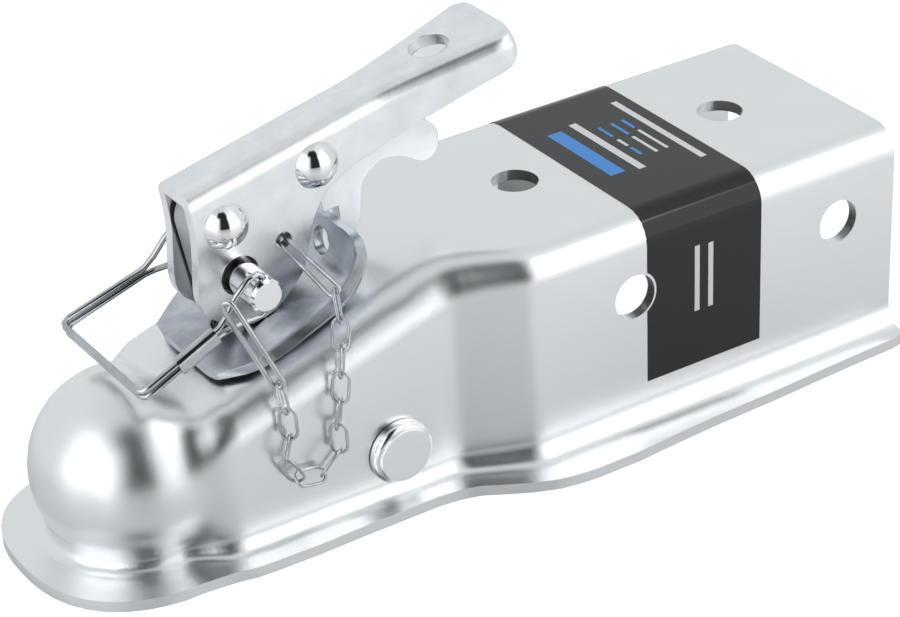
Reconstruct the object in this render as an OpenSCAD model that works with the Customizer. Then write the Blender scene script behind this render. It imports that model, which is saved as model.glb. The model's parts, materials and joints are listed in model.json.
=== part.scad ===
/* [Ball socket] */
// Radius of the outer dome over the ball, mm
dome_r = 29.2; // [28.6:0.1:30]
// Height of the ball's centre above the flange underside, mm
dome_z = 23.6; // [22:0.1:26]
// Sheet thickness of the pressed body, mm
sheet = 3.4; // [2.8:0.1:3.8]
// Lowest angle of the dome below its equator, degrees
dome_low = 29; // [26:1:31]
// Outer radius of the fillet between dome and flange, mm
dome_fillet = 4; // [3.6:0.1:4.6]

/* [Pressed body] */
// X of the tail end, measured from the ball axis, mm
body_tail = 243.4; // [236:0.1:250]
// Width over the box walls, mm
box_w = 85; // [82:0.5:88]
// Overall height of the box, mm
box_h = 70.8; // [69:0.1:73]
// Corner radius of the box, mm
box_corner = 9; // [7:0.5:11]
// Outer radius of the foot fillet along the box, mm
box_foot = 7.5; // [6:0.5:8.5]
// Half width over the neck walls at the dome, mm
neck_hw = 31.5; // [31:0.1:32]
// Neck top height at x = 20, mm
neck_top = 48.6; // [48:0.1:48.8]
// Rise of the neck top per mm of length
neck_rise = 0.315; // [0.305:0.005:0.32]
// Corner radius of the neck, mm
neck_corner = 12; // [10:0.5:13]
// Outer radius of the foot fillet along the neck, mm
neck_foot = 5.5; // [5:0.5:6]

/* [Bolt holes] */
// Diameter of the side and top bolt holes, mm
bolt_d = 14.2; // [13:0.1:15]
// Spacing of each pair of bolt holes, mm
bolt_pitch = 76.2; // [74:0.1:78]
// X of the rear side hole, mm
side_x = 221.9; // [219:0.1:224]
// Height of the side holes, mm
side_z = 46.3; // [44:0.1:48]
// X of the rear top hole, mm
top_x = 209.4; // [207:0.1:212]

/* [Label] */
// X of the label band's front edge, mm
label_x0 = 150.2; // [148:0.1:152]
// X of the label band's rear edge, mm
label_x1 = 192.1; // [190:0.1:194]
// Lower edge of the label on the side walls, mm
label_z = 16; // [15.5:0.1:18]
// Thickness of the label film, mm
label_t = 0.15; // [0.1:0.05:0.3]

/* [Clamp pivot] */
// X of the cross rivet, mm
cross_x = 69.3; // [68:0.1:70.5]
// Height of the cross rivet, mm
cross_z = 17.6; // [16.5:0.1:18.5]
// Shank diameter of the cross rivet, mm
cross_d = 12; // [10:0.1:12.5]
// Head diameter of the cross rivet, mm
cross_head = 20; // [17:0.5:21]
// Head height of the cross rivet, mm
cross_head_h = 4; // [3:0.5:5]

/* [Lever] */
// X of the lever pivot, mm
piv_x = 32; // [31.5:0.1:32.5]
// Height of the lever pivot, mm
piv_z = 92.4; // [92.2:0.1:93]
// Tilt of the lever at rest, degrees
lever_tilt = 12.6; // [12:0.1:13]
// Width over the lever's side plates at the front, mm
lever_w = 18; // [17.6:0.1:18.4]
// Sheet thickness of the lever, mm
lever_t = 3.6; // [3.2:0.1:3.8]
// Outer bend radius of the lever channel, mm
lever_bend = 4.6; // [4.2:0.1:5]
// Height of the lever's web above the pivot, mm
lever_top = 13.7; // [13.5:0.1:14]
// Half width of the lever's tail, mm
tail_hw = 16.2; // [15:0.1:17]
// Distance from pivot to tail end, mm
tail_x = 98.5; // [96:0.1:101]
// Diameter of the hole in the lever's web, mm
web_hole = 12; // [10:0.5:13]
// Distance from pivot to the web hole, mm
web_hole_x = 78; // [76:0.5:80]
// Diameter of the lock pin holes in the lever, mm
pin_hole = 12; // [11.6:0.1:12.4]
// Diameter of the clip holes in the lever, mm
clip_hole = 5; // [4.6:0.1:5.4]
// Diameter of both rivet heads, mm
rivet_head = 14; // [12:0.5:14.5]
// Height of both rivet heads, mm
rivet_head_h = 4.6; // [3:0.1:5]
// Shank diameter of both rivets, mm
rivet_d = 8; // [7.5:0.1:8.2]
// Trigger pivot from the lever pivot, along the lever, mm
trig_x = 31; // [30.8:0.1:31.2]
// Trigger pivot above the lever pivot, square to the lever, mm
trig_z = 3; // [2.8:0.1:3.2]

/* [Trigger] */
// Thickness of the trigger plate, mm
trig_t = 4; // [3.4:0.1:4.2]
// Wire diameter of the trigger's return spring, mm
trig_wire = 1; // [0.8:0.1:1.1]

/* [Saddle] */
// Thickness of the saddle plate, mm
saddle_t = 3; // [2.6:0.1:3.2]
// Height of the saddle's floor at its front edge, mm
saddle_z = 53.2; // [53.1:0.05:53.5]
// X of the saddle's front edge, mm
saddle_x = 19.5; // [18.5:0.1:20.5]
// Half width of the saddle's wings, mm
saddle_hw = 25.3; // [24.5:0.1:26]
// Top of the saddle's rear lip, mm
lip_top = 81; // [80.6:0.1:81.4]
// X of the lip's front face at its top, mm
lip_x = 67.1; // [66.9:0.1:67.3]
// X of the front end of the slot in the saddle's floor, mm
slot_x0 = 29.5; // [28.5:0.1:30]
// X of the rear end of the slot in the saddle's floor, mm
slot_x1 = 54; // [52:0.5:56]
// Diameter of the hole in the rear lip, mm
lip_hole = 8.3; // [8.1:0.1:8.6]
// Height of the hole in the rear lip, mm
lip_hole_z = 73; // [72.8:0.1:73.2]

/* [Draw stud and clamp] */
// Tilt of the stud's axis, degrees
stud_tilt = 11; // [10.8:0.1:11.2]
// Thickness of the stud's flat eye, mm
eye_t = 8; // [7:0.1:8.4]
// Radius of the stud's eye, mm
eye_r = 9.3; // [8.6:0.1:9.4]
// Shank diameter of the stud, mm
shank_d = 10; // [9:0.1:10]
// Distance from the lever pivot to the shank's end, mm
shank_end = 90.8; // [90:0.1:91.6]
// Width of the ball clamp, mm
clamp_w = 36; // [32:0.5:38]
// Radius of the clamp's ball face, mm
clamp_r = 25.9; // [25.8:0.05:26.2]
// Wire diameter of the compression spring, mm
spring_wire = 2.4; // [2:0.1:2.6]
// Mean diameter of the compression spring, mm
spring_d = 14.6; // [14.2:0.1:16]
// Turns of the compression spring
spring_turns = 5.5; // [4:0.5:6]

/* [Lock pin and bail] */
// Diameter of the lock pin, mm
pin_d = 10; // [9.4:0.1:10]
// X of the lock pin at rest, mm
pin_x = 35.3; // [35.2:0.1:35.4]
// Height of the lock pin at rest, mm
pin_z = 75.7; // [75.5:0.1:75.9]
// Y of the lock pin's near end, mm
pin_near = -23.5; // [-25:0.5:-23]
// Y of the lock pin's far end, mm
pin_far = 22.5; // [22:0.5:24]
// Wire diameter of the bail, mm
bail_wire_d = 1.9; // [1.6:0.1:2]
// Wire diameter of the clips, mm
clip_wire = 1.8; // [1.4:0.1:2]

/* [Chain] */
// Wire diameter of the chain links, mm
link_wire = 1; // [0.9:0.05:1.05]
// Outside length of a chain link, mm
link_l = 10.6; // [10.5:0.05:10.7]
// Outside width of a chain link, mm
link_w = 5.8; // [5.6:0.1:6]

/* [Hidden] */
$fn = 48;
zinc = [0.80, 0.82, 0.84];
bright = [0.88, 0.89, 0.90];
dark = [0.05, 0.05, 0.06];
steel = [0.55, 0.56, 0.58];

function lerp(a, b, t) = a + (b - a) * t;
function clamp01(t) = max(0, min(1, t));
function ease(t) = let (c = clamp01(t)) c * c * (3 - 2 * c);
function flat(lists) = [for (l = lists) for (p = l) p];
function unit(v) = v / norm(v);

// Body cross-sections: the same number of points on every rib
T4 = 4;
C6 = 6;
W4 = 4;
F5 = 5;
NP = T4 + C6 + W4 + F5 + 1;

function neck_h(x) = neck_top + neck_rise * (x - 20);
rise_end = 20 + (box_h - neck_top) / neck_rise;
function top_h(x) = x < rise_end - 10 ? neck_h(x)
    : x > rise_end + 10 ? box_h
    : let (t = (x - rise_end + 10) / 20) neck_h(rise_end - 10) + neck_rise * 20 * (t - t * t / 2);
bend0 = 89.5;
bend1 = 110;
neck_hw1 = neck_hw + 1;
function wall_hw(x) = x < bend0 - 3 ? lerp(neck_hw, neck_hw1, clamp01((x - 20) / 68))
    : x < bend0 + 3 ? let (t = (x - bend0 + 3) / 6) neck_hw1 + t * t * 1.45
    : x < bend1 - 3 ? let (t = (x - bend0 - 3) / (bend1 - bend0 - 6))
        lerp(neck_hw1 + 1.45, box_w / 2 - 1.45, t)
    : x < bend1 + 3 ? let (t = (bend1 + 3 - x) / 6) box_w / 2 - t * t * 1.45
    : box_w / 2;
function corner_r(x) = lerp(neck_corner, box_corner, clamp01((x - 84) / 30));
function foot_r(x) = lerp(neck_foot, box_foot, clamp01((x - 84) / 30));

edge = [[0, 38.6], [5, 39], [11, 39.7], [16, 40.9], [22, 41.3], [36, 41.6], [49, 41.3], [76, 41.2],
    [83, 41.9], [89, 43.6], [94, 46.6], [99, 49.6], [104, 52.2], [109.5, 54.4], [116, 55.7],
    [122, 56.3], [137, 56.3], [153, 55], [168, 54.1], [192, 53.3], [208, 52.4], [225, 51.6],
    [240, 51.2], [260, 51.2]];
function edge_hw(x) = [for (i = [0:len(edge) - 2]) if (x >= edge[i][0] && x < edge[i + 1][0])
    lerp(edge[i][1], edge[i + 1][1], (x - edge[i][0]) / (edge[i + 1][0] - edge[i][0]))][0];
tail_r = 5;
function tail_cut(x) = let (d = x - (body_tail - tail_r))
    d <= 0 ? 0 : tail_r - sqrt(max(0, tail_r * tail_r - d * d));

function long_rib(x, o) = let (h = top_h(x) - o, w = wall_hw(x) - o, rc = corner_r(x), rf = foot_r(x),
        cy = wall_hw(x) - rc, cz = top_h(x) - rc, r = rc - o, fz = sheet + rf, fy = wall_hw(x) + rf)
    concat([for (i = [0:T4 - 1]) [lerp(0, cy, i / T4), h]],
        [for (i = [0:C6 - 1]) [cy + r * sin(90 * i / C6), cz + r * cos(90 * i / C6)]],
        [for (i = [0:W4 - 1]) [w, lerp(cz, fz, i / W4)]],
        [for (i = [0:F5 - 1]) [fy - (rf + o) * cos(90 * i / (F5 - 1)),
            fz - (rf + o) * sin(90 * i / (F5 - 1))]],
        [[edge_hw(x) - tail_cut(x), sheet - o]]);

function dome_angle(i) = i <= T4 ? lerp(90, 54, i / T4)
    : i <= T4 + C6 ? lerp(54, 6, (i - T4) / C6)
    : lerp(6, -dome_low, (i - T4 - C6) / W4);
function dome_rib(x, ex, o) = let (r = dome_r - o, k = sqrt(max(0.01, 1 - pow(x / dome_r, 2))),
        fz = dome_z - (dome_r + dome_fillet) * sin(dome_low), fy = (dome_r + dome_fillet) * cos(dome_low),
        a0 = dome_low)
    concat([for (i = [0:T4 + C6 + W4 - 1])
        [k * r * cos(dome_angle(i)), dome_z + k * r * sin(dome_angle(i))]],
        [for (i = [0:F5 - 1]) let (a = lerp(180 - a0, 270, i / (F5 - 1)))
            [k * fy + (dome_fillet + o) * cos(a), fz + (dome_fillet + o) * sin(a)]],
        [[ex, sheet - o]]);
dome_drop = dome_z - (dome_r + dome_fillet) * sin(dome_low) - dome_fillet - sheet;

blend_x = 16;
function body_rib(x, o) = x >= blend_x ? long_rib(x, o)
    : let (t = ease(x / blend_x), a = dome_rib(x, edge_hw(x), o), b = long_rib(x, o))
        [for (i = [0:NP - 1]) lerp([a[i][0], a[i][1] - (i >= NP - 1 - F5 && i < NP - 1 ? dome_drop : 0)],
            b[i], t)];

nose_a = 38.2;
nose_b = 39;
nose_n = 2.4;
nose_cx = 1.6;
function nose_edge(a) = let (c = abs(cos(a)), s = abs(sin(a)))
    pow(pow(c / nose_a, nose_n) + pow(s / nose_b, nose_n), -1 / nose_n) + nose_cx * c * -0.9;

xs = concat([0, 3, 6, 9, 12, blend_x, 20, 24, 36, 49, 62, 70, 76, rise_end - 10, rise_end - 6,
        bend0 - 3], [for (x = [bend0, bend0 + 3, 97, 102, bend1 - 3, bend1, bend1 + 3]) x],
    [116, 122, 137, 153, 168, 192, 208, 225, body_tail - tail_r, body_tail - tail_r * 0.6,
        body_tail - tail_r * 0.29, body_tail - tail_r * 0.08, body_tail]);
MX = len(xs);
NF = 22;
ROW = 2 * NP - 1;

function long_points(o) = [for (x = xs) let (r = body_rib(x, o)) for (j = [-(NP - 1):NP - 1])
    [x, (j < 0 ? -1 : 1) * r[abs(j)][0], r[abs(j)][1]]];
function fan_points(o) = [for (k = [1:NF - 1]) let (a = 270 - 180 * k / NF, r = dome_rib(0, nose_edge(a), o))
    for (j = [1:NP - 1]) [r[j][0] * cos(a), r[j][0] * sin(a),
        r[j][1] - (j >= NP - 1 - F5 && j < NP - 1 ? dome_drop : 0)]];

LP = MX * ROW;
HALF = LP + (NF - 1) * (NP - 1);
function vid(i, j, s) = s * HALF + i * ROW + j + NP - 1;
function fid(k, j, s) = j == 0 ? vid(0, 0, s) : k == 0 ? vid(0, -j, s) : k == NF ? vid(0, j, s)
    : s * HALF + LP + (k - 1) * (NP - 1) + j - 1;
function quad(a, b, c, d, s) = s == 0 ? [[a, b, c], [a, c, d]] : [[a, c, b], [a, d, c]];

body_faces = concat(
    flat([for (s = [0, 1]) for (i = [0:MX - 2]) for (j = [-(NP - 1):NP - 2])
        quad(vid(i, j, s), vid(i, j + 1, s), vid(i + 1, j + 1, s), vid(i + 1, j, s), s)]),
    flat([for (s = [0, 1]) for (k = [0:NF - 1]) for (j = [1:NP - 2])
        quad(fid(k, j, s), fid(k, j + 1, s), fid(k + 1, j + 1, s), fid(k + 1, j, s), s)]),
    flat([for (s = [0, 1]) [for (k = [0:NF - 1]) s == 0 ? [fid(k, 0, s), fid(k, 1, s), fid(k + 1, 1, s)]
        : [fid(k, 0, s), fid(k + 1, 1, s), fid(k, 1, s)]]]),
    flat([for (i = [0:MX - 2]) quad(vid(i, NP - 1, 0), vid(i, NP - 1, 1), vid(i + 1, NP - 1, 1),
        vid(i + 1, NP - 1, 0), 0)]),
    flat([for (i = [0:MX - 2]) quad(vid(i, 1 - NP, 1), vid(i, 1 - NP, 0), vid(i + 1, 1 - NP, 0),
        vid(i + 1, 1 - NP, 1), 0)]),
    flat([for (k = [0:NF - 1]) quad(fid(k, NP - 1, 0), fid(k, NP - 1, 1), fid(k + 1, NP - 1, 1),
        fid(k + 1, NP - 1, 0), 0)]),
    flat([for (j = [-(NP - 1):NP - 2]) quad(vid(MX - 1, j, 0), vid(MX - 1, j + 1, 0),
        vid(MX - 1, j + 1, 1), vid(MX - 1, j, 1), 0)]));

stud_dir = [sin(stud_tilt), 0, -cos(stud_tilt)];
function stud_at(s) = [piv_x, 0, piv_z] + stud_dir * s;

module cyl_y(x, z, d, y0, y1) {
    translate([x, y1, z])
        rotate([90, 0, 0])
            cylinder(d = d, h = y1 - y0);
}

module housing() {
    color(zinc)
    difference() {
        polyhedron(points = concat(long_points(0), fan_points(0), long_points(sheet), fan_points(sheet)),
            faces = body_faces, convexity = 10);
        for (i = [0, 1])
            cyl_y(side_x - i * bolt_pitch, side_z, bolt_d, -60, 60);
        for (i = [0, 1])
            translate([top_x - i * bolt_pitch, 0, box_h - 15])
                cylinder(d = bolt_d, h = 30);
        cyl_y(cross_x, cross_z, cross_d + 0.12, -60, 60);
        translate([33.4, -6, 44])
            cube([13.4, 12, 22]);
    }
}

// Label film: a strip over the top and down both walls, cut round the front side holes
module label_profile(o) {
    w = box_w / 2 + o;
    h = box_h + o;
    r = box_corner + o;
    translate([-w, 0])
        square([2 * w, h - r]);
    translate([-w + r, 0])
        square([2 * w - 2 * r, h]);
    for (m = [-1, 1])
        translate([m * (w - r), h - r])
            circle(r = r, $fn = 64);
}

module label_band() {
    color(dark)
    difference() {
        translate([label_x0, 0, 0])
            rotate([90, 0, 90])
                linear_extrude(label_x1 - label_x0)
                    difference() {
                        label_profile(0.02 + label_t);
                        label_profile(0.02);
                        translate([-100, -1])
                            square([200, label_z + 1]);
                    }
        cyl_y(side_x - bolt_pitch, side_z, bolt_d + 1.6, -60, 60);
    }
}

// Saddle: walls swept from the fold line to the rim, and a sloping floor between the folds
floor_rise = 0.31;
function floor_z(x) = saddle_z + floor_rise * (x - saddle_x);
fold = [[saddle_x, 12], [26, 13.5], [30, 14.2], [34, 14.6], [39, 15], [44, 15], [49, 15], [53, 14.8],
    [57, 14.2], [60, 13], [62, 11.2], [63.2, 8.8], [63.6, 5], [63.6, 0]];
rim = [[saddle_x + 1, saddle_hw - 7.8, saddle_z], [27, saddle_hw - 3.8, 55.7], [30.8, saddle_hw - 1.8, 57.2],
    [34.5, saddle_hw - 0.8, 59.4], [39.2, saddle_hw - 0.2, 61.6], [44, saddle_hw, 64], [49, saddle_hw, 66.2],
    [53.4, saddle_hw, 68.4], [58.2, saddle_hw - 0.3, 71.6], [62.4, saddle_hw - 1.6, 75.2],
    [65.4, saddle_hw - 4, 78], [66.7, saddle_hw - 7.6, lip_top - 1], [lip_x, saddle_hw - 12.4, lip_top],
    [lip_x, 0, lip_top]];
KS = len(fold);
JW = 6;
function sad_f(k, m) = [fold[k][0], m * fold[k][1], floor_z(fold[k][0])];
function sad_r(k, m) = [rim[k][0], m * rim[k][1], rim[k][2]];
function sad_c(k, m) = let (f = sad_f(k, m), r = sad_r(k, m), x = lerp(f[0], r[0], 0.86))
    [x, lerp(f[1], r[1], 0.86), floor_z(x)];
function bez(a, b, c, t) = a * (1 - t) * (1 - t) + b * 2 * t * (1 - t) + c * t * t;
NS = 2 * KS - 1;
function sad_k(i) = i < KS ? i : NS - 1 - i;
function sad_m(i) = i < KS ? -1 : 1;
sad_top = [for (i = [0:NS - 1]) [for (j = [0:JW]) let (k = sad_k(i), m = sad_m(i))
    bez(sad_f(k, m), sad_c(k, m), sad_r(k, m), j / JW)]];
function sad_n(i, j) = j == 0 ? unit([-floor_rise, 0, 1])
    : let (a = sad_top[max(0, i - 1)][j], b = sad_top[min(NS - 1, i + 1)][j],
        c = sad_top[i][max(0, j - 1)], d = sad_top[i][min(JW, j + 1)]) unit(cross(b - a, d - c));
sad_sign = sad_n(5, 3)[2] > 0 ? 1 : -1;
sad_low = [for (i = [0:NS - 1]) [for (j = [0:JW])
    sad_top[i][j] - sad_n(i, j) * (j == 0 ? 1 : sad_sign) * saddle_t]];
function sid(i, j, s) = s * NS * (JW + 1) + i * (JW + 1) + j;

slot_outline = concat([for (i = [0:6]) [slot_x1 - 6 + 6 * sin(30 * i), 6 * cos(30 * i)]],
    [for (i = [0:6]) [slot_x0 + 6 - 6 * sin(30 * i), -6 * cos(30 * i)]]);

module saddle_plate() {
    color(zinc)
    difference() {
        polyhedron(points = concat(flat(sad_top), flat(sad_low)),
            faces = concat(
                flat([for (s = [0, 1]) for (i = [0:NS - 2]) for (j = [0:JW - 1])
                    quad(sid(i, j, s), sid(i + 1, j, s), sid(i + 1, j + 1, s), sid(i, j + 1, s), s)]),
                [[for (i = [0:NS - 1]) sid(NS - 1 - i, 0, 0)]],
                [[for (i = [0:NS - 1]) sid(i, 0, 1)]],
                flat([for (i = [0:NS - 2])
                    quad(sid(i, JW, 0), sid(i, JW, 1), sid(i + 1, JW, 1), sid(i + 1, JW, 0), 1)]),
                flat([for (j = [0:JW - 1])
                    quad(sid(0, j, 0), sid(0, j + 1, 0), sid(0, j + 1, 1), sid(0, j, 1), 0)]),
                flat([for (j = [0:JW - 1])
                    quad(sid(NS - 1, j, 0), sid(NS - 1, j, 1), sid(NS - 1, j + 1, 1),
                        sid(NS - 1, j + 1, 0), 0)]),
                quad(sid(0, 0, 0), sid(0, 0, 1), sid(NS - 1, 0, 1), sid(NS - 1, 0, 0), 0)),
            convexity = 10);
        translate([0, 0, 40])
            linear_extrude(35)
                polygon(slot_outline);
        translate([60, 0, lip_hole_z])
            rotate([0, 90, 0])
                cylinder(d = lip_hole, h = 20);
    }
}

module at_lever() {
    translate([piv_x, 0, piv_z])
        rotate([0, -lever_tilt, 0])
            children();
}

cam_r = 33.5;
function cam_pt(a, r) = [r * cos(a - lever_tilt), r * sin(a - lever_tilt)];
side_outline = concat([[-8.0, lever_top], [-8.9, 10.5], [-9.6, 3], [-10.4, -2], [-14.0, -15], [-14.5, -18],
        [-14.3, -21], [-13.4, -23.8], [-11.6, -26]],
    [cam_pt(-97, 30), cam_pt(-92, 31.3), cam_pt(-86, 32.4), cam_pt(-80, 33.1), cam_pt(-73, cam_r),
        cam_pt(-66, cam_r - 0.2), cam_pt(-59, cam_r - 0.8), cam_pt(-53, cam_r - 1.6)],
    [[14.7, -28.6], [17.4, -26.4], [19.3, -23.6], [21.1, -20.4], [25.3, -12.5], [27.2, -10.0], [29.4, -7.8],
        [31.8, -6.0], [34.8, -4.7], [38.7, -3.5], [44, -2.6], [52, -2.0], [52, lever_top]]);

// Lever tail: sections across the lever, widening to the end
tail_st = [[52, -2.0], [57, -1.5], [62, -0.7], [68, 0.1], [74, 0.9], [80, 1.7], [86, 2.5], [91, 3.1],
    [94, 3.9]];
function tail_w(x) = lerp(lever_w / 2, tail_hw, pow(clamp01((x - 52) / (tail_x - 52)), 1.25));
function tail_sec(x, zb, cut) = let (w = tail_w(x) - cut, r = lever_bend, t = lever_t, cz = lever_top - r)
    concat([[-w, zb], [-w, lerp(zb, cz, 0.5)]],
        [for (i = [0:5]) [-w + r - r * cos(90 * i / 5), cz + r * sin(90 * i / 5)]],
        [for (i = [0:5]) [w - r + r * sin(90 * i / 5), cz + r * cos(90 * i / 5)]],
        [[w, lerp(zb, cz, 0.5)], [w, zb], [w - t, zb], [w - t, lerp(zb, cz, 0.5)]],
        [for (i = [0:5]) [w - r + (r - t) * cos(90 * i / 5), cz + (r - t) * sin(90 * i / 5)]],
        [for (i = [0:5]) [-w + r - (r - t) * sin(90 * i / 5), cz + (r - t) * cos(90 * i / 5)]],
        [[-w + t, lerp(zb, cz, 0.5)], [-w + t, zb]]);
tail_rows = concat([for (s = tail_st) concat([s[0], s[1], 0])],
    [[tail_x - 2.6, 5.2, 0.5], [tail_x - 1.2, 6.6, 1.3], [tail_x - 0.3, 8.0, 2.6], [tail_x, 8.6, 3.6]]);
TN = len(tail_sec(60, 0, 0));
TR = len(tail_rows);

module lever_tail() {
    polyhedron(points = flat([for (s = tail_rows)
            [for (p = tail_sec(s[0], s[1], s[2])) [s[0], p[0], p[1]]]]),
        faces = concat(
            flat([for (j = [0:TN / 2 - 2]) quad(j + 1, j, TN - 1 - j, TN - 2 - j, 0)]),
            flat([for (j = [0:TN / 2 - 2]) quad((TR - 1) * TN + j, (TR - 1) * TN + j + 1,
                TR * TN - 2 - j, TR * TN - 1 - j, 0)]),
            flat([for (i = [0:TR - 2]) for (j = [0:TN - 1])
                quad(i * TN + j, (i + 1) * TN + j, (i + 1) * TN + (j + 1) % TN, i * TN + (j + 1) % TN, 1)])),
        convexity = 8);
}

hole_dx = pin_x - 0.4 - piv_x;
hole_dz = pin_z + 0.4 - piv_z;
pin_l = [hole_dx * cos(lever_tilt) + hole_dz * sin(lever_tilt),
    hole_dz * cos(lever_tilt) - hole_dx * sin(lever_tilt)];
clip_l = [14.8, -13.5];

module lever() {
    color(zinc)
    at_lever()
        difference() {
            union() {
                intersection() {
                    translate([-16, 0, 0])
                        rotate([90, 0, 90])
                            linear_extrude(68 + 0.05)
                                polygon(tail_sec(52, -40, 0));
                    translate([0, 20, 0])
                        rotate([90, 0, 0])
                            linear_extrude(40)
                                polygon(side_outline);
                }
                lever_tail();
            }
            cyl_y(0, 0, rivet_d + 0.1, -20, 20);
            cyl_y(trig_x, trig_z, rivet_d + 0.1, -20, 20);
            cyl_y(pin_l[0], pin_l[1], pin_hole, -20, 20);
            cyl_y(clip_l[0], clip_l[1], clip_hole, -20, 20);
            translate([web_hole_x, 0, 0])
                cylinder(d = web_hole, h = 20);
        }
}

module rivet(w, d, hd, hh) {
    rotate([90, 0, 0])
        union() {
            cylinder(d = d, h = w + 0.4, center = true);
            for (m = [0, 1])
                rotate([m * 180, 0, 0])
                    translate([0, 0, w / 2])
                        rotate_extrude()
                            intersection() {
                                translate([0, hh - (hd * hd / 4 + hh * hh) / (2 * hh)])
                                    circle(r = (hd * hd / 4 + hh * hh) / (2 * hh), $fn = 96);
                                square([hd / 2, hh]);
                            }
        }
}

module lever_rivet() {
    color(bright)
        at_lever()
            rivet(lever_w + 0.04, rivet_d, rivet_head, rivet_head_h);
}

module trigger_rivet() {
    color(bright)
        at_lever()
            translate([trig_x, 0, trig_z])
                rivet(lever_w + 0.04, rivet_d, rivet_head, rivet_head_h);
}

trig_outline = [[25.4, 0], [27.8, -5], [31.0, -9], [31.9, -12.8], [31.6, -17.1], [36.6, -17.6],
    [36.2, -20.8], [34.6, -26.2], [32.5, -26.9], [32.0, -29.2], [33.2, -31.0], [36.0, -31.9],
    [38.3, -30.6], [39.8, -28.0], [41.8, -25.3], [43.4, -21.5], [44.8, -16.6], [46.2, -14.4], [48.4, -12.6],
    [51.5, -11.5], [54.9, -11.3], [59.3, -13.2], [62.2, -15.6], [64, -17.6], [66, -18.9], [68.4, -19.2],
    [70.6, -18.2], [72.2, -16], [72.9, -12.4], [72.4, -9.6], [70.8, -7.4], [67.5, -5.6], [62, -4.4],
    [55, -3.2], [48, -1.2], [42, 2.2], [37.2, 5.2], [31, 9.2]];

module trigger() {
    color(zinc)
    at_lever()
        difference() {
            translate([0, trig_t / 2, 0])
                rotate([90, 0, 0])
                    linear_extrude(trig_t)
                        union() {
                            polygon(trig_outline);
                            translate([trig_x, trig_z])
                                circle(r = 6.4);
                        }
            cyl_y(trig_x, trig_z, rivet_d + 0.1, -20, 20);
        }
}

// Tube swept along a list of points
function tan_at(p, i, closed) = let (n = len(p),
        a = closed ? p[(i + n - 1) % n] : p[max(0, i - 1)],
        b = closed ? p[(i + 1) % n] : p[min(n - 1, i + 1)]) unit(b - a);
function side_at(t, up) = unit(cross(t, up));
module tube(p, d, n, up, closed) {
    L = len(p);
    pts = flat([for (i = [0:L - 1]) let (t = tan_at(p, i, closed), a = side_at(t, up), b = cross(t, a))
        [for (j = [0:n - 1]) p[i] + (a * cos(360 * j / n) + b * sin(360 * j / n)) * d / 2]]);
    rows = closed ? L - 1 : L - 2;
    faces = concat(flat([for (i = [0:rows]) for (j = [0:n - 1])
            quad(i * n + j, i * n + (j + 1) % n, ((i + 1) % L) * n + (j + 1) % n,
                ((i + 1) % L) * n + j, 1)]),
        closed ? [] : [[for (j = [0:n - 1]) j], [for (j = [0:n - 1]) L * n - 1 - j]]);
    polyhedron(points = pts, faces = faces, convexity = 6);
}

module trigger_spring() {
    turns = 2;
    r = 5.6;
    n = 14;
    y0 = trig_t / 2 + 0.5 + trig_wire / 2;
    color(steel)
    at_lever()
        translate([trig_x, 0, trig_z])
            tube([for (i = [0:turns * n]) let (a = 200 + 360 * i / n)
                    [r * cos(a), y0 + i / n * trig_wire * 0.9, r * sin(a)]],
                trig_wire * 0.7, 6, [0, 1, 0], false);
}

module on_stud(s) {
    translate(stud_at(s))
        rotate([0, 180 - stud_tilt, 0])
            children();
}

// Sector of a ring round the lever pivot, as a side outline
function ring_sector(r0, r1, a0, a1, n) = concat(
    [for (i = [0:n]) r1 * [cos(lerp(a0, a1, i / n)), sin(lerp(a0, a1, i / n))]],
    [for (i = [0:n]) r0 * [cos(lerp(a1, a0, i / n)), sin(lerp(a1, a0, i / n))]]);
pin_r = norm([pin_x - piv_x, pin_z - piv_z]);
pin_gap = pin_d / 2 + 0.45;
bar_end = 28;

module draw_stud() {
    color(steel)
    difference() {
        union() {
            cyl_y(piv_x, piv_z, 2 * eye_r, -eye_t / 2, eye_t / 2);
            on_stud(0)
                translate([-eye_r, -eye_t / 2, 0])
                    cube([2 * eye_r, eye_t, bar_end]);
            on_stud(bar_end - 1)
                cylinder(d = shank_d, h = shank_end - bar_end + 0.2);
            on_stud(shank_end - 0.9)
                cylinder(d1 = shank_d, d2 = shank_d - 1.8, h = 0.9);
        }
        cyl_y(piv_x, piv_z, rivet_d + 0.1, -20, 20);
        translate([piv_x, 20, piv_z])
            rotate([90, 0, 0])
                linear_extrude(40)
                    polygon(ring_sector(pin_r - pin_gap, pin_r + pin_gap, -90 + stud_tilt, -20, 10));
        cyl_y(pin_x, pin_z, 2 * pin_gap, -20, 20);
        for (i = [0:11])
            on_stud(shank_end - 2.2 - 1.5 * i)
                rotate_extrude()
                    polygon([[shank_d / 2 + 0.2, -0.7], [shank_d / 2 - 0.5, 0], [shank_d / 2 + 0.2, 0.7]]);
    }
}

module ring(s, h, od, id) {
    on_stud(s)
        difference() {
            cylinder(d = od, h = h);
            translate([0, 0, -1])
                cylinder(d = id, h = h + 2);
        }
}

module upper_washer() {
    color(steel)
        ring(44.4, 1.6, 19, shank_d + 0.9);
}

module lower_washer() {
    color(steel)
        ring(79.7, 2, 18, shank_d + 0.14);
}

module adjusting_nut() {
    color(steel)
    on_stud(81.74)
        difference() {
            cylinder(d = 19.6, h = 7, $fn = 6);
            translate([0, 0, -1])
                cylinder(d = shank_d + 0.12, h = 9);
        }
}

module clamp_spring() {
    s0 = 46.2 + spring_wire / 2 + 0.3;
    s1 = 69.8 - spring_wire / 2;
    n = 16;
    color(steel)
    on_stud(0)
        tube([for (i = [0:spring_turns * n]) let (a = 360 * i / n, t = i / (spring_turns * n))
                [spring_d / 2 * cos(a), spring_d / 2 * sin(a), lerp(s0, s1, t)]],
            spring_wire, 8, [0, 0, 1], false);
}

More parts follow.
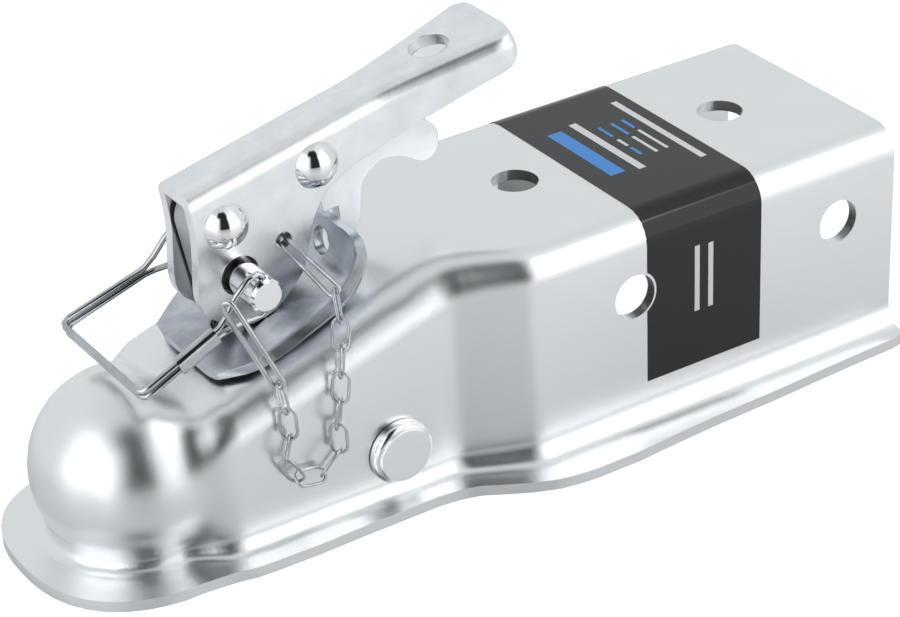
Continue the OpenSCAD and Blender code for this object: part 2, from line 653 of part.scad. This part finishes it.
clamp_side = [[14, 2.6], [22, 2.2], [28, 4.2], [34, 8.6], [37.4, 12.65], [60, 17.0], [63.5, 11.5],
    [69.3, 8.6], [75.5, 11.2], [78.2, 17.6], [75.8, 24.0], [69.3, 26.7], [60, 26.2], [41.4, 22.4],
    [34, 25.2], [24.5, 25.2], [14, 12]];

module ball_clamp() {
    color(steel)
    difference() {
        translate([0, clamp_w / 2, 0])
            rotate([90, 0, 0])
                linear_extrude(clamp_w)
                    polygon(clamp_side);
        translate([0, 0, dome_z])
            sphere(r = clamp_r, $fn = 96);
        cyl_y(cross_x, cross_z, cross_d + 0.16, -40, 40);
        translate([40.4, -6.2, 5])
            cube([13.6, 12.4, 30]);
        translate([58, -clamp_w / 2 + 6, 4])
            cube([30, clamp_w - 12, 30]);
    }
}

module cross_rivet() {
    color(bright)
    union() {
        cyl_y(cross_x, cross_z, cross_d, -33, 33);
        for (m = [-1, 1])
            translate([cross_x, m * (wall_hw(cross_x) + 0.22), cross_z])
                rotate([m * -90, 0, 0])
                    rotate_extrude()
                        intersection() {
                            translate([0, cross_head_h - 24])
                                circle(r = 24, $fn = 120);
                            union() {
                                square([cross_head / 2 - 1.5, cross_head_h]);
                                square([cross_head / 2, cross_head_h - 1.5]);
                                translate([cross_head / 2 - 1.5, cross_head_h - 2.2])
                                    circle(r = 1.5, $fn = 48);
                            }
                        }
    }
}

spacer_l = wall_hw(cross_x) - sheet - clamp_w / 2 - 1.1;

module clamp_spacers() {
    color(steel)
    for (m = [-1, 1])
        translate([cross_x, m * (clamp_w / 2 + 0.4 + spacer_l / 2), cross_z])
            rotate([90, 0, 0])
                difference() {
                    cylinder(d = 17, h = spacer_l, center = true);
                    cylinder(d = cross_d + 0.16, h = 12, center = true);
                }
}

module lock_pin() {
    color(bright)
    difference() {
        translate([pin_x, pin_far, pin_z])
            rotate([90, 0, 0])
                rotate_extrude()
                    polygon([[0, 0], [pin_d / 2 - 0.7, 0], [pin_d / 2, 0.7],
                        [pin_d / 2, pin_far - pin_near - 0.7], [pin_d / 2 - 0.7, pin_far - pin_near],
                        [0, pin_far - pin_near]]);
        for (y = [pin_near + 2.6, pin_far - 2.6])
            translate([pin_x, y, pin_z - 10])
                cylinder(d = bail_wire_d + 0.4, h = 20);
    }
}

wn = pin_near + 2.6;
wf = pin_far - 2.6;
near_low = [-3.9, -20.6, 56.6];
far_low = [-5.4, 23.8, 58.6];
leg_n = unit(near_low - [pin_x, wn, pin_z]);
bw = bail_wire_d / 2 + 0.06;

// The doubled bail: offset 0 is the upper wire and 1 the lower wire, side by side round the loop
function bail_line(m) = let (o = m * bw)
    [[pin_x, wn, pin_z + m * 3.2], [pin_x, wn, pin_z + m * 5.6], [pin_x - 1.2, wn + 0.1, pin_z + m * 6.6],
        [pin_x - 4.5, wn + 0.1, pin_z + m * 6.2 - 0.6], [pin_x - 8.5, wn + 0.1, pin_z - 2.6 + m * 4.4],
        [pin_x - 12, wn + 0.1, pin_z - 5.6 + m * 2.2], [pin_x - 14.6, wn, pin_z - 7.3 + m * bw],
        [near_low[0] + 2.6 - o * 0.4, near_low[1], near_low[2] + 1.3 + o],
        [near_low[0] + 0.7 - o * 0.4, near_low[1] + 0.5, near_low[2] + 0.35 + o],
        [near_low[0] - o * 0.4, near_low[1] + 2.2, near_low[2] + o],
        [far_low[0] - o * 0.4, far_low[1] - 2.6, far_low[2] + o],
        [far_low[0] + 0.6 - o * 0.4, far_low[1] - 0.8, far_low[2] + 0.3 + o],
        [far_low[0] + 2.4 - o * 0.4, far_low[1] - 0.1, far_low[2] + 1.2 + o],
        [pin_x - 15, wf + 1.6, pin_z - 7 + m * bw], [pin_x - 12, wf + 1.0, pin_z - 5 + m * 2.2],
        [pin_x - 8, wf + 0.4, pin_z - 2.2 + m * 4.6], [pin_x - 4, wf, pin_z - 0.4 + m * 6.4],
        [pin_x - 1.2, wf, pin_z + m * 6.8], [pin_x, wf, pin_z + m * 5.8], [pin_x, wf, pin_z + m * 3.2]];

module bail_wire() {
    color(bright)
    for (m = [-1, 1])
        tube(bail_line(m), bail_wire_d, 10, [0.02, 0.03, 1] + [m * 0.01, 0, 0], false);
}

module bail_ferrule() {
    a = [pin_x - 14.6, wn, pin_z - 7.3];
    b = near_low + [2.6, 0, 1.3];
    u = unit(b - a);
    ang = atan2(u[0], u[2]);
    color(bright)
    translate(a + u * 1.2)
        rotate([0, ang, 0])
            difference() {
                linear_extrude(13.5)
                    ferrule_outline(0.9);
                translate([0, 0, -1])
                    linear_extrude(16)
                        ferrule_outline(0.12);
            }
}

module ferrule_outline(o) {
    for (m = [-1, 1])
        translate([m * bw, 0])
            circle(r = bail_wire_d / 2 + o);
    square([2 * bw, bail_wire_d + 2 * o], center = true);
}

// Hairpin clip: two strands side by side, closed at both ends, ra and rb their half widths there
function clip_loop(a, b, ra, rb, s) = let (u = unit(b - a), n = 6)
    concat([for (i = [0:n]) a + u * ra + s * ra * cos(180 * i / n) - u * ra * sin(180 * i / n)],
        [for (i = [0:n]) b - u * rb - s * rb * cos(180 * i / n) + u * rb * sin(180 * i / n)]);

// Direction of a link's width: square to the chain, a quarter turn further on every second link
function link_side(u, odd, twist) = let (a = unit([0, 1, 0] - u * u[1]), b = cross(u, a))
    odd ? b * cos(twist) - a * sin(twist) : a * cos(twist) + b * sin(twist);

clip_a0 = [21.4, -24.6, 79.2];
clip_a1 = [32.3, -32.3, 52.2];
clip_b0 = [48.6, -3.0, 83.9];
clip_b1 = [53.8, -29.4, 73.1];

module clip(a, b, ra, rb, d, twist) {
    u = unit(b - a);
    s = link_side(u, false, twist);
    tube(clip_loop(a, b, ra, rb, s), d, 8, cross(u, s), true);
}

module pin_clip() {
    color(bright)
        clip(clip_a0, clip_a1, 1.8, 1.8, clip_wire * 0.9, 135);
}

module lever_clip() {
    color(bright)
        clip(clip_b0, clip_b1, 1.05, 1.8, clip_wire * 2 / 3, 105);
}

// Where each link hooks the next, from the lever's clip down and up again to the bail's clip
chain_hooks = [[53.6, -28.5, 73.5], [52.3, -32.6, 66.7], [51.1, -34.8, 59], [50.1, -35.2, 51],
    [49.1, -35.2, 43], [47.9, -35.2, 35.1], [48, -35.2, 27], [42.1, -35.2, 21.4], [34.2, -35.2, 22.7],
    [30.2, -35.2, 29.7], [32.4, -35.2, 37.4], [32.4, -34.6, 45.5], [31.9, -32, 53.1]];

module link(p, u, s) {
    r = (link_w - link_wire) / 2;
    h = (link_l - link_w) / 2;
    n = 6;
    tube(concat([for (i = [0:n]) p + u * h + s * r * cos(180 * i / n) + u * r * sin(180 * i / n)],
            [for (i = [0:n]) p - u * h - s * r * cos(180 * i / n) - u * r * sin(180 * i / n)]),
        link_wire, 6, cross(u, s), true);
}

module chain_links() {
    color(bright)
    for (i = [0:len(chain_hooks) - 2]) {
        a = chain_hooks[i];
        b = chain_hooks[i + 1];
        u = unit(b - a);
        link((a + b) / 2, u, link_side(u, i % 2 == 1, 45));
    }
}

housing();
label_band();
saddle_plate();
lever();
lever_rivet();
trigger();
trigger_rivet();
trigger_spring();
draw_stud();
upper_washer();
clamp_spring();
lower_washer();
adjusting_nut();
ball_clamp();
cross_rivet();
clamp_spacers();
lock_pin();
bail_wire();
bail_ferrule();
pin_clip();
lever_clip();
chain_links();
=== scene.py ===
import json
import math

import bmesh
import bpy
from mathutils import Euler, Matrix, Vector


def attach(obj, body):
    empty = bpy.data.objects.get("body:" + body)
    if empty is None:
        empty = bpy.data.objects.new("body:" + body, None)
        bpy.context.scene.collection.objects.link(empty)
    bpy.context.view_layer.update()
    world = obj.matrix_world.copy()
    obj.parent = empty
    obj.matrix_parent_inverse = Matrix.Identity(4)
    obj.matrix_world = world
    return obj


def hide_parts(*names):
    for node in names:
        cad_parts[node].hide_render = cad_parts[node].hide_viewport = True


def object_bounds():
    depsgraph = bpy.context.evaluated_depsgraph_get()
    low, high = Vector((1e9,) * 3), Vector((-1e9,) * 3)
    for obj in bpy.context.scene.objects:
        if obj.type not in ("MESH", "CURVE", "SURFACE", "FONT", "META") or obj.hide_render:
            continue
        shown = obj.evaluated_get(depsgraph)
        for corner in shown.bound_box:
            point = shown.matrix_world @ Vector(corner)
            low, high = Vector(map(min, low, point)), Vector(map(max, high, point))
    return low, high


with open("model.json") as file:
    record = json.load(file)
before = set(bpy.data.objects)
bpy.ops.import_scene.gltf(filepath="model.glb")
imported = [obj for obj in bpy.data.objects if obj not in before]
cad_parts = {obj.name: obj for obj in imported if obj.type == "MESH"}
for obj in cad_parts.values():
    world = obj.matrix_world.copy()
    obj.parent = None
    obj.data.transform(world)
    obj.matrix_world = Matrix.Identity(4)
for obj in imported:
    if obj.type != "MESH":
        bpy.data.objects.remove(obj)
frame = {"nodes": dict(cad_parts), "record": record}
size_start = [[round(float(c), 6) for c in corner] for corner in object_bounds()]

record = frame["record"]
BODY = {n: b for b, nodes in record["behaviour"]["bodies"].items() for n in nodes}
SLOT = {s["node"]: s["material_slot"] for s in record["subparts"]}
scene = bpy.context.scene

MM_PER_M = 1000
DEGREES_PER_RADIAN = 57.29578

# The photograph's camera, in metres, and in degrees about x, y and z
FOCAL_PX = 3017.13
PHOTO_WIDTH_PX = 900
SENSOR_MM = 36.0
CAMERA_AT = (-0.30483, -0.65896, 0.48372)
CAMERA_TURN = (60.041, 2.125, -33.333)

# Metal: the darker tone and the clouds as shares of its colour, and the noise scales
WORN = 0.965
CLOUD = (0.42, 0.46, 0.50)
TONE_SCALE = 60
CLOUD_SCALE = 110
ROUGHNESS_SCALE = 35

# Label: plain bars of colour on a dark film, in mm
FILM = (0.004, 0.004, 0.005)
WHITE = (0.75, 0.75, 0.76)
BLUE = (0.03, 0.26, 0.72)
FILM_SPECULAR = 0.48
FILM_ROUGHNESS = (0.07, 0.10)
FILM_NOISE_SCALE = 50
TOP_Z = (70, 72)
SIDE_Y = (-43.5, -41.5)
# Ink, then from and to along x, and from and to along y
TOP_BARS = [(BLUE, 157.4, 162.6, -15, 18), (WHITE, 166.6, 169.2, -16.5, 19.8),
            (BLUE, 172.4, 173.5, -9, -3.5), (WHITE, 172.4, 173.5, -2, 3), (BLUE, 172.4, 173.5, 5.5, 13),
            (WHITE, 177.2, 178.3, -10.5, 2), (BLUE, 177.2, 178.3, 4, 13),
            (WHITE, 181.2, 182.3, -10.3, 4.5), (BLUE, 181.2, 182.3, 6.5, 13),
            (WHITE, 185.8, 188.0, -21.4, 24.5)]
# From and to along x, and from and to along z
SIDE_BARS = [(167.4, 169.2, 34, 56), (172.4, 174.2, 34, 55.5)]

# Cross rivet's head: radius and depth below its face, in mm
RIVET_HEAD = [(0, 0.10), (5.2, 0.10), (5.8, 0), (7.9, 0), (8.25, 0.12), (8.45, 0.45), (8.6, 0.95),
              (9.0, 1.1), (9.5, 1.5), (9.85, 2.1), (10, 2.8), (10, 4.0), (6, 4.0)]
RIVET_SIDES = 72

# Tail corners of the flange, in metres
TAIL_X = size_start[1][0]
CORNER_LENGTH = 0.0031
CORNER_Y = (0.046, 0.0499)
CORNER_TOP_Z = 0.0035
CORNER_EDGE_Y = 0.05003
CORNER_SLOPE = 0.25

# Points closer than this are one, and edges shorter than this go, in metres
WELD = 2e-6
SHORTEST_EDGE = 1e-7
# Edges sharper than this stay sharp, in degrees
SHARP_ANGLE = {"housing": 30, "saddle_plate": 40, "lever": 30, "bail_wire": 50, "pin_clip": 60,
               "lever_clip": 60, "chain_links": 70, "clamp_spring": 50, "trigger_spring": 60}
USUAL_SHARP_ANGLE = 32
WIRES = ("bail_wire", "pin_clip", "lever_clip", "chain_links", "clamp_spring", "trigger_spring")

# World colour by height, with the degrees of elevation where one turns into the next
GROUND = (0.73, 0.76, 0.77)
HORIZON = (0.77, 0.80, 0.81)
ZENITH = (0.69, 0.71, 0.72)
GROUND_TO_HORIZON = (-75.0, 0.0)
HORIZON_TO_ZENITH = (35.0, 80.0)
# World colour by direction, each laid over the ones before it. In degrees: azimuth of the middle, half width
# and its softness, lower edge and its softness, upper edge and its softness
PATCHES = [
    ((0.65, 0.685, 0.705), (-118, 24, 22, -62, 20, 8, 14)),  # wall behind the camera
    ((0.90, 0.92, 0.93), (-50, 44, 16, 40, 14, 72, 10)),  # pale field high on the right
    ((1.55, 1.57, 1.60), (-166, 31, 8, -16, 12, 50, 8)),  # left soft box
    ((1.45, 1.47, 1.50), (-61, 26, 6, -9, 9, 50, 6)),  # right soft box
    ((5.0, 5.05, 5.1), (-47, 9, 4, 46, 3, 52, 3)),  # narrow bright strip inside it
    ((0.02, 0.025, 0.028), (-105, 20, 5, -7, 6, 69, 6)),  # dark card behind the camera
    ((0.02, 0.025, 0.028), (-112, 32, 6, 44, 7, 70, 6)),  # dark card's wider top
]

# Floor, in metres. Reflections see a satin table with a painted shade, darker near the object and lighter
# further out; the camera sees a white glow with a matt share
FLOOR_HALF = 1.6
FLOOR_Z = -0.0004
FLOOR_NEAR_Y = 0.07
FLOOR_FAR_Y = 0.19
# Painted shade on the table: its colour near the object, then its own tone further out
FLOOR_NEAR_PAINTED_SHADE = 0.76
FLOOR_FAR_TONE = 0.96
FLOOR_ROUGHNESS = 0.22
FLOOR_SPECULAR = 0.9
FLOOR_GLOW = 1.25
FLOOR_MATT_SHADE = 0.9
FLOOR_MATT_SHARE = 0.22


# Camera
def make_camera():
    camera = bpy.data.cameras.new("camera")
    camera.sensor_fit = "HORIZONTAL"
    camera.sensor_width = SENSOR_MM
    camera.lens = FOCAL_PX / PHOTO_WIDTH_PX * SENSOR_MM
    camera.clip_start = 0.01
    camera.clip_end = 20
    obj = bpy.data.objects.new("camera", camera)
    scene.collection.objects.link(obj)
    turn = Euler([math.radians(angle) for angle in CAMERA_TURN]).to_matrix().to_4x4()
    obj.matrix_world = Matrix.Translation(CAMERA_AT) @ turn
    scene.camera = obj


# Node helpers
class Tree:
    """A node tree with short ways to add its nodes"""

    def __init__(self, tree):
        self.tree = tree

    def add(self, kind):
        return self.tree.nodes.new(kind)

    def link(self, out, into):
        self.tree.links.new(out, into)

    def feed(self, socket, value):
        """Constant straight on the socket, or a link"""
        if isinstance(value, tuple):
            socket.default_value = (*value, 1)
        elif isinstance(value, (int, float)):
            socket.default_value = value
        else:
            self.link(value, socket)

    def coord(self, name):
        return self.add("ShaderNodeTexCoord").outputs[name]

    def math(self, kind, a, b=None):
        n = self.add("ShaderNodeMath")
        n.operation = kind
        self.feed(n.inputs[0], a)
        if b is not None:
            self.feed(n.inputs[1], b)
        return n.outputs[0]

    def blend(self, under, over, weight):
        n = self.add("ShaderNodeMix")
        n.data_type = "RGBA"
        self.feed(n.inputs[0], weight)
        self.feed(n.inputs[6], under)
        self.feed(n.inputs[7], over)
        return n.outputs[2]

    def noise(self, coord, scale, detail=2.0, rough=0.5):
        n = self.add("ShaderNodeTexNoise")
        n.inputs["Scale"].default_value = scale
        n.inputs["Detail"].default_value = detail
        n.inputs["Roughness"].default_value = rough
        self.link(coord, n.inputs["Vector"])
        return n.outputs["Fac"]

    def remap(self, value, low, high):
        """Noise, which mostly lies from 0.3 to 0.7, spread from low to high"""
        n = self.add("ShaderNodeMapRange")
        n.inputs["From Min"].default_value = 0.3
        n.inputs["From Max"].default_value = 0.7
        n.inputs["To Min"].default_value = low
        n.inputs["To Max"].default_value = high
        self.link(value, n.inputs["Value"])
        return n.outputs["Result"]

    def by_camera_ray(self, other, seen):
        """One shader for the camera's own rays and another for all the rest"""
        mix = self.add("ShaderNodeMixShader")
        self.link(self.add("ShaderNodeLightPath").outputs["Is Camera Ray"], mix.inputs["Fac"])
        self.link(other, mix.inputs[1])
        self.link(seen, mix.inputs[2])
        return mix.outputs["Shader"]


# Materials
def new_material(name):
    material = bpy.data.materials.new(name)
    material.use_nodes = True
    material.node_tree.nodes.clear()
    tree = Tree(material.node_tree)
    return material, tree, tree.add("ShaderNodeOutputMaterial")


def steel(name, color, rough, spread=0.05, grain=0.0, grain_scale=2600.0, bevel=0.0, clouds=0.0):
    """Metal with a slow tone, and where asked darker clouds, a fine grain and rounded cut edges"""
    material, tree, out = new_material(name)
    bsdf = tree.add("ShaderNodeBsdfPrincipled")
    tree.link(bsdf.outputs["BSDF"], out.inputs["Surface"])
    coord = tree.coord("Object")
    bsdf.inputs["Metallic"].default_value = 1.0
    worn = tuple(c * WORN for c in color)
    shade = tree.blend(worn, color, tree.noise(coord, TONE_SCALE, 3))
    if clouds:
        cloud = tuple(c * k for c, k in zip(color, CLOUD))
        shade = tree.blend(shade, cloud, tree.remap(tree.noise(coord, CLOUD_SCALE, 5, 0.62), 0.0, clouds))
    tree.link(shade, bsdf.inputs["Base Color"])
    sheen = tree.remap(tree.noise(coord, ROUGHNESS_SCALE, 4, 0.6), rough - spread, rough + spread)
    tree.link(sheen, bsdf.inputs["Roughness"])
    normal = None
    if bevel:
        edge = tree.add("ShaderNodeBevel")
        edge.samples = 6
        edge.inputs["Radius"].default_value = bevel
        normal = edge.outputs["Normal"]
    if grain:
        bump = tree.add("ShaderNodeBump")
        bump.inputs["Strength"].default_value = 1.0
        bump.inputs["Distance"].default_value = grain
        tree.link(tree.noise(coord, grain_scale, 2, 0.6), bump.inputs["Height"])
        if normal:
            tree.link(normal, bump.inputs["Normal"])
        normal = bump.outputs["Normal"]
    if normal:
        tree.link(normal, bsdf.inputs["Normal"])
    return material


def label_film():
    """Dark film with plain bars, masked in the label's own coordinates"""
    material, tree, out = new_material("label_film")
    bsdf = tree.add("ShaderNodeBsdfPrincipled")
    tree.link(bsdf.outputs["BSDF"], out.inputs["Surface"])
    coord = tree.coord("Object")
    sep = tree.add("ShaderNodeSeparateXYZ")
    tree.link(coord, sep.inputs["Vector"])
    bsdf.inputs["Specular IOR Level"].default_value = FILM_SPECULAR
    sheen = tree.remap(tree.noise(coord, FILM_NOISE_SCALE, 3), *FILM_ROUGHNESS)
    tree.link(sheen, bsdf.inputs["Roughness"])

    def inside(axis, low, high):
        off = tree.math("SUBTRACT", sep.outputs[axis], (low + high) / 2 / MM_PER_M)
        return tree.math("LESS_THAN", tree.math("ABSOLUTE", off), (high - low) / 2 / MM_PER_M)

    def bar(under, ink, one, two, three):
        mask = tree.math("MULTIPLY", tree.math("MULTIPLY", inside(*one), inside(*two)), inside(*three))
        return tree.blend(under, ink, mask)

    color = FILM
    for ink, x0, x1, y0, y1 in TOP_BARS:
        color = bar(color, ink, ("X", x0, x1), ("Y", y0, y1), ("Z", *TOP_Z))
    for x0, x1, z0, z1 in SIDE_BARS:
        color = bar(color, WHITE, ("X", x0, x1), ("Z", z0, z1), ("Y", *SIDE_Y))
    tree.link(color, bsdf.inputs["Base Color"])
    return material


MATS = {
    "zinc_body": steel("satin_zinc_body", (0.87, 0.885, 0.895), 0.25, 0.02, 0.00005, 3100.0),
    "zinc_plate": steel("satin_zinc_plate", (0.95, 0.965, 0.98), 0.22, 0.03, 0.00004, 2900.0, 0.0004, 0.25),
    "saddle_zinc": steel("mottled_zinc", (0.66, 0.69, 0.72), 0.20, 0.05, 0.00004, 2900.0, 0.0004, 0.62),
    "bright_steel": steel("bright_steel", (0.88, 0.885, 0.89), 0.07, 0.02),
    "rivet_face": steel("rivet_face", (0.93, 0.945, 0.955), 0.16, 0.03, 0.00002, 2600.0),
    "wire_steel": steel("wire_steel", (0.66, 0.67, 0.68), 0.10, 0.04, 0.00001, 1500.0, clouds=0.7),
    "spring_steel": steel("spring_steel", (0.5, 0.5, 0.52), 0.3, 0.05),
    "cast_clamp": steel("cast_clamp", (0.30, 0.30, 0.31), 0.5, 0.05, 0.00006, 900.0, 0.0008),
    "label": label_film(),
}
# Nodes that look different from their slot's usual finish
LOOK = {n: "wire_steel" for n in ("bail_wire", "bail_ferrule", "pin_clip", "lever_clip", "chain_links")}
LOOK["saddle_plate"] = "saddle_zinc"
LOOK["cross_rivet"] = "rivet_face"


# Pieces
def square_tail_corners(bm):
    """The flange's edge at the tail stays outside the end of its fillet, so no face folds back there"""
    for v in bm.verts:
        at_corner = v.co.x > TAIL_X - CORNER_LENGTH and CORNER_Y[0] < abs(v.co.y) < CORNER_Y[1]
        if at_corner and v.co.z < CORNER_TOP_Z:
            v.co.y = math.copysign(CORNER_EDGE_Y + (TAIL_X - v.co.x) * CORNER_SLOPE, v.co.y)


def turn_rivet(bm):
    """Cross rivet turned about its own axis: a flat face with a faint dish, a step and a rounded rim"""
    top = max(v.co.y for v in bm.verts)
    axis_x = sum(end(v.co.x for v in bm.verts) for end in (min, max)) / 2
    axis_z = sum(end(v.co.z for v in bm.verts) for end in (min, max)) / 2
    bm.clear()
    line = [(r / MM_PER_M, top - depth / MM_PER_M) for r, depth in RIVET_HEAD]
    line += [(r, -y) for r, y in reversed(line)]
    turn = [2 * math.pi * k / RIVET_SIDES for k in range(RIVET_SIDES)]
    rings = []
    for r, y in line:
        if r == 0:
            rings.append([bm.verts.new((axis_x, y, axis_z))] * RIVET_SIDES)
        else:
            spots = [(axis_x + r * math.cos(a), y, axis_z + r * math.sin(a)) for a in turn]
            rings.append([bm.verts.new(spot) for spot in spots])
    for one, two in zip(rings, rings[1:]):
        for k in range(RIVET_SIDES):
            n = (k + 1) % RIVET_SIDES
            corners = [one[k], two[k], two[n], one[n]]
            bm.faces.new([v for i, v in enumerate(corners) if v not in corners[:i]])
    bmesh.ops.recalc_face_normals(bm, faces=bm.faces)


def smooth_copy(node):
    """The node's own mesh with smooth faces and true sharp edges"""
    mesh = bpy.data.meshes.new(node + "_look")
    bm = bmesh.new()
    bm.from_mesh(frame["nodes"][node].data)
    bmesh.ops.remove_doubles(bm, verts=bm.verts, dist=WELD)
    bmesh.ops.dissolve_degenerate(bm, dist=SHORTEST_EDGE, edges=bm.edges)
    if node == "housing":
        square_tail_corners(bm)
    if node == "cross_rivet":
        turn_rivet(bm)
    for f in bm.faces:
        f.smooth = True
    limit = math.radians(SHARP_ANGLE.get(node, USUAL_SHARP_ANGLE))
    for e in bm.edges:
        e.smooth = not (len(e.link_faces) == 2 and e.calc_face_angle(0) > limit)
    bm.to_mesh(mesh)
    bm.free()
    custom = mesh.attributes.get("custom_normal")
    if custom:
        mesh.attributes.remove(custom)
    obj = bpy.data.objects.new(node + "_look", mesh)
    scene.collection.objects.link(obj)
    mesh.materials.append(MATS[LOOK.get(node, SLOT[node])])
    if node not in WIRES:
        modifier = obj.modifiers.new("normals", "WEIGHTED_NORMAL")
        modifier.keep_sharp = True
        modifier.weight = 60
    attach(obj, BODY[node])
    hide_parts(node)


for node in frame["nodes"]:
    smooth_copy(node)


# Light and backdrop
class Sky(Tree):
    """World colour by height and by windows of direction"""

    def __init__(self, tree):
        super().__init__(tree)
        unit = self.add("ShaderNodeVectorMath")
        unit.operation = "NORMALIZE"
        self.link(self.coord("Generated"), unit.inputs[0])
        self.direction = unit.outputs["Vector"]
        sep = self.add("ShaderNodeSeparateXYZ")
        self.link(self.direction, sep.inputs["Vector"])
        rise = self.math("ARCSINE", sep.outputs["Z"])
        self.elevation = self.degrees(rise)
        self.cos_elevation = self.math("COSINE", rise)

    def degrees(self, angle):
        return self.math("MULTIPLY", angle, DEGREES_PER_RADIAN)

    def step(self, value, low, high):
        n = self.add("ShaderNodeMapRange")
        n.interpolation_type = "SMOOTHSTEP"
        n.inputs["From Min"].default_value = low
        n.inputs["From Max"].default_value = high
        self.link(value, n.inputs["Value"])
        return n.outputs["Result"]

    def window(self, centre, half, soft, bottom, bottom_soft, top, top_soft):
        """1 inside a window of directions and 0 outside, with soft edges"""
        dot = self.add("ShaderNodeVectorMath")
        dot.operation = "DOT_PRODUCT"
        dot.inputs[1].default_value = (math.cos(math.radians(centre)), math.sin(math.radians(centre)), 0)
        self.link(self.direction, dot.inputs[0])
        ratio = self.math("DIVIDE", dot.outputs["Value"], self.math("MAXIMUM", self.cos_elevation, 0.001))
        turn = self.degrees(self.math("ARCCOSINE", self.math("MINIMUM", ratio, 1.0)))
        side = self.math("SUBTRACT", 1.0, self.step(turn, half - soft, half + soft))
        above = self.step(self.elevation, bottom - bottom_soft, bottom + bottom_soft)
        below = self.math("SUBTRACT", 1.0, self.step(self.elevation, top - top_soft, top + top_soft))
        return self.math("MULTIPLY", side, self.math("MULTIPLY", above, below))


def make_world():
    """White to the eye, a plain studio to light and reflections"""
    world = bpy.data.worlds.new("world")
    scene.world = world
    world.use_nodes = True
    world.node_tree.nodes.clear()
    sky = Sky(world.node_tree)
    color = sky.blend(GROUND, HORIZON, sky.step(sky.elevation, *GROUND_TO_HORIZON))
    color = sky.blend(color, ZENITH, sky.step(sky.elevation, *HORIZON_TO_ZENITH))
    for patch, span in PATCHES:
        color = sky.blend(color, patch, sky.window(*span))
    back = sky.add("ShaderNodeBackground")
    sky.link(color, back.inputs["Color"])
    white = sky.add("ShaderNodeBackground")
    white.inputs["Color"].default_value = (1, 1, 1, 1)
    out = sky.add("ShaderNodeOutputWorld")
    surface = sky.by_camera_ray(back.outputs["Background"], white.outputs["Background"])
    sky.link(surface, out.inputs["Surface"])


def make_floor():
    """White to the eye; to light and reflections a satin table with a painted shade, darker near the object
    """
    s, z = FLOOR_HALF, FLOOR_Z
    mesh = bpy.data.meshes.new("floor")
    mesh.from_pydata([(-s, -s, z), (s, -s, z), (s, s, z), (-s, s, z)], [], [(0, 1, 2, 3)])
    obj = bpy.data.objects.new("floor", mesh)
    scene.collection.objects.link(obj)
    material, tree, out = new_material("floor")
    sep = tree.add("ShaderNodeSeparateXYZ")
    tree.link(tree.coord("Object"), sep.inputs["Vector"])
    # Painted shade: the table's colour is darker near the object, where its shadow falls, and lighter
    # further out
    painted_shade_ramp = tree.add("ShaderNodeMapRange")
    painted_shade_ramp.inputs["From Min"].default_value = FLOOR_NEAR_Y
    painted_shade_ramp.inputs["From Max"].default_value = FLOOR_FAR_Y
    painted_shade_ramp.inputs["To Min"].default_value = FLOOR_NEAR_PAINTED_SHADE
    painted_shade_ramp.inputs["To Max"].default_value = FLOOR_FAR_TONE
    tree.link(tree.math("ABSOLUTE", sep.outputs["Y"]), painted_shade_ramp.inputs["Value"])
    shade = tree.add("ShaderNodeCombineColor")
    for c in ("Red", "Green", "Blue"):
        tree.link(painted_shade_ramp.outputs["Result"], shade.inputs[c])
    table = tree.add("ShaderNodeBsdfPrincipled")
    tree.link(shade.outputs["Color"], table.inputs["Base Color"])
    table.inputs["Roughness"].default_value = FLOOR_ROUGHNESS
    table.inputs["Specular IOR Level"].default_value = FLOOR_SPECULAR
    glow = tree.add("ShaderNodeEmission")
    glow.inputs["Color"].default_value = (1, 1, 1, 1)
    glow.inputs["Strength"].default_value = FLOOR_GLOW
    matt = tree.add("ShaderNodeBsdfDiffuse")
    matt.inputs["Color"].default_value = (*[FLOOR_MATT_SHADE] * 3, 1)
    seen = tree.add("ShaderNodeMixShader")
    seen.inputs["Fac"].default_value = FLOOR_MATT_SHARE
    tree.link(glow.outputs["Emission"], seen.inputs[1])
    tree.link(matt.outputs["BSDF"], seen.inputs[2])
    tree.link(tree.by_camera_ray(table.outputs["BSDF"], seen.outputs["Shader"]), out.inputs["Surface"])
    mesh.materials.append(material)


make_camera()
make_world()
make_floor()
scene.view_settings.view_transform = "Standard"
